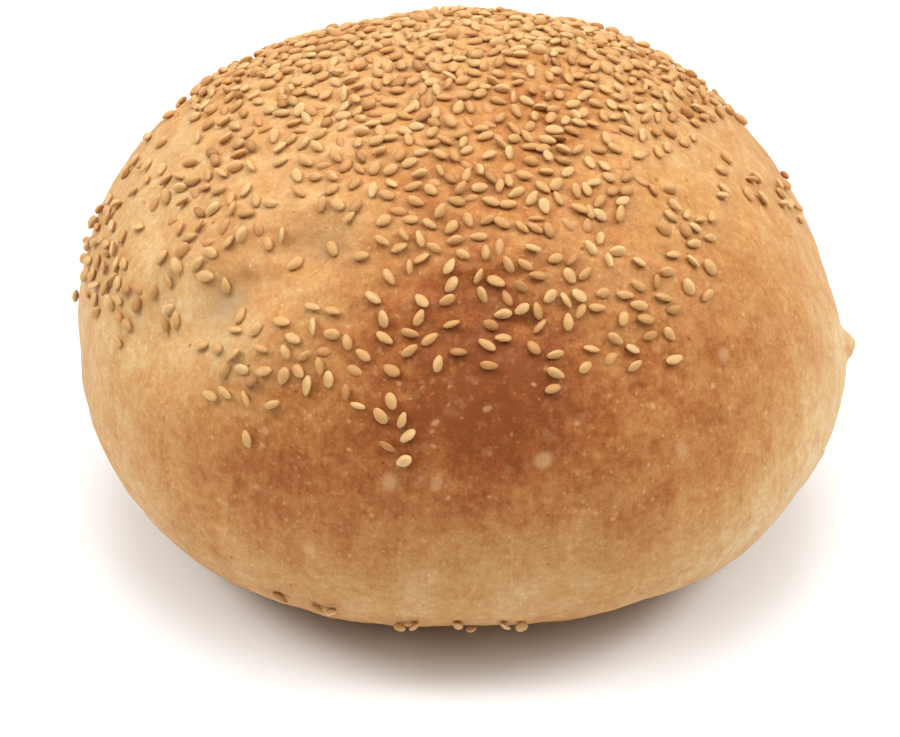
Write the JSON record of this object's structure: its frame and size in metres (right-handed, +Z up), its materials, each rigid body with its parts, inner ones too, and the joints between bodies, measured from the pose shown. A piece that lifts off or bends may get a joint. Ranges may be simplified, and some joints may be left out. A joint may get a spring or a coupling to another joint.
{
  "type": "bread roll",
  "caption": "Round bread roll with a high domed top, a stretched hollow on one shoulder, full sides and a flat base, for strewing with sesame seeds.",
  "frame": {"origin": "middle of the flat base, on the surface the roll stands on", "axes": "+Z up through the dome, -Y towards the front with the browned patch, +X to the roll's right as seen from the front"},
  "size_m": [0.1226, 0.1194, 0.0765],
  "materials": {
    "crust": "baked crust, soft satin, golden brown on the dome, browner on the front, pale at the sides and in the hollow",
    "sesame": "toasted hulled seed, cream to gold, smooth with a low sheen"
  },
  "bodies": {
    "root": {"bread_roll": "crust"}
  },
  "joints": []
}
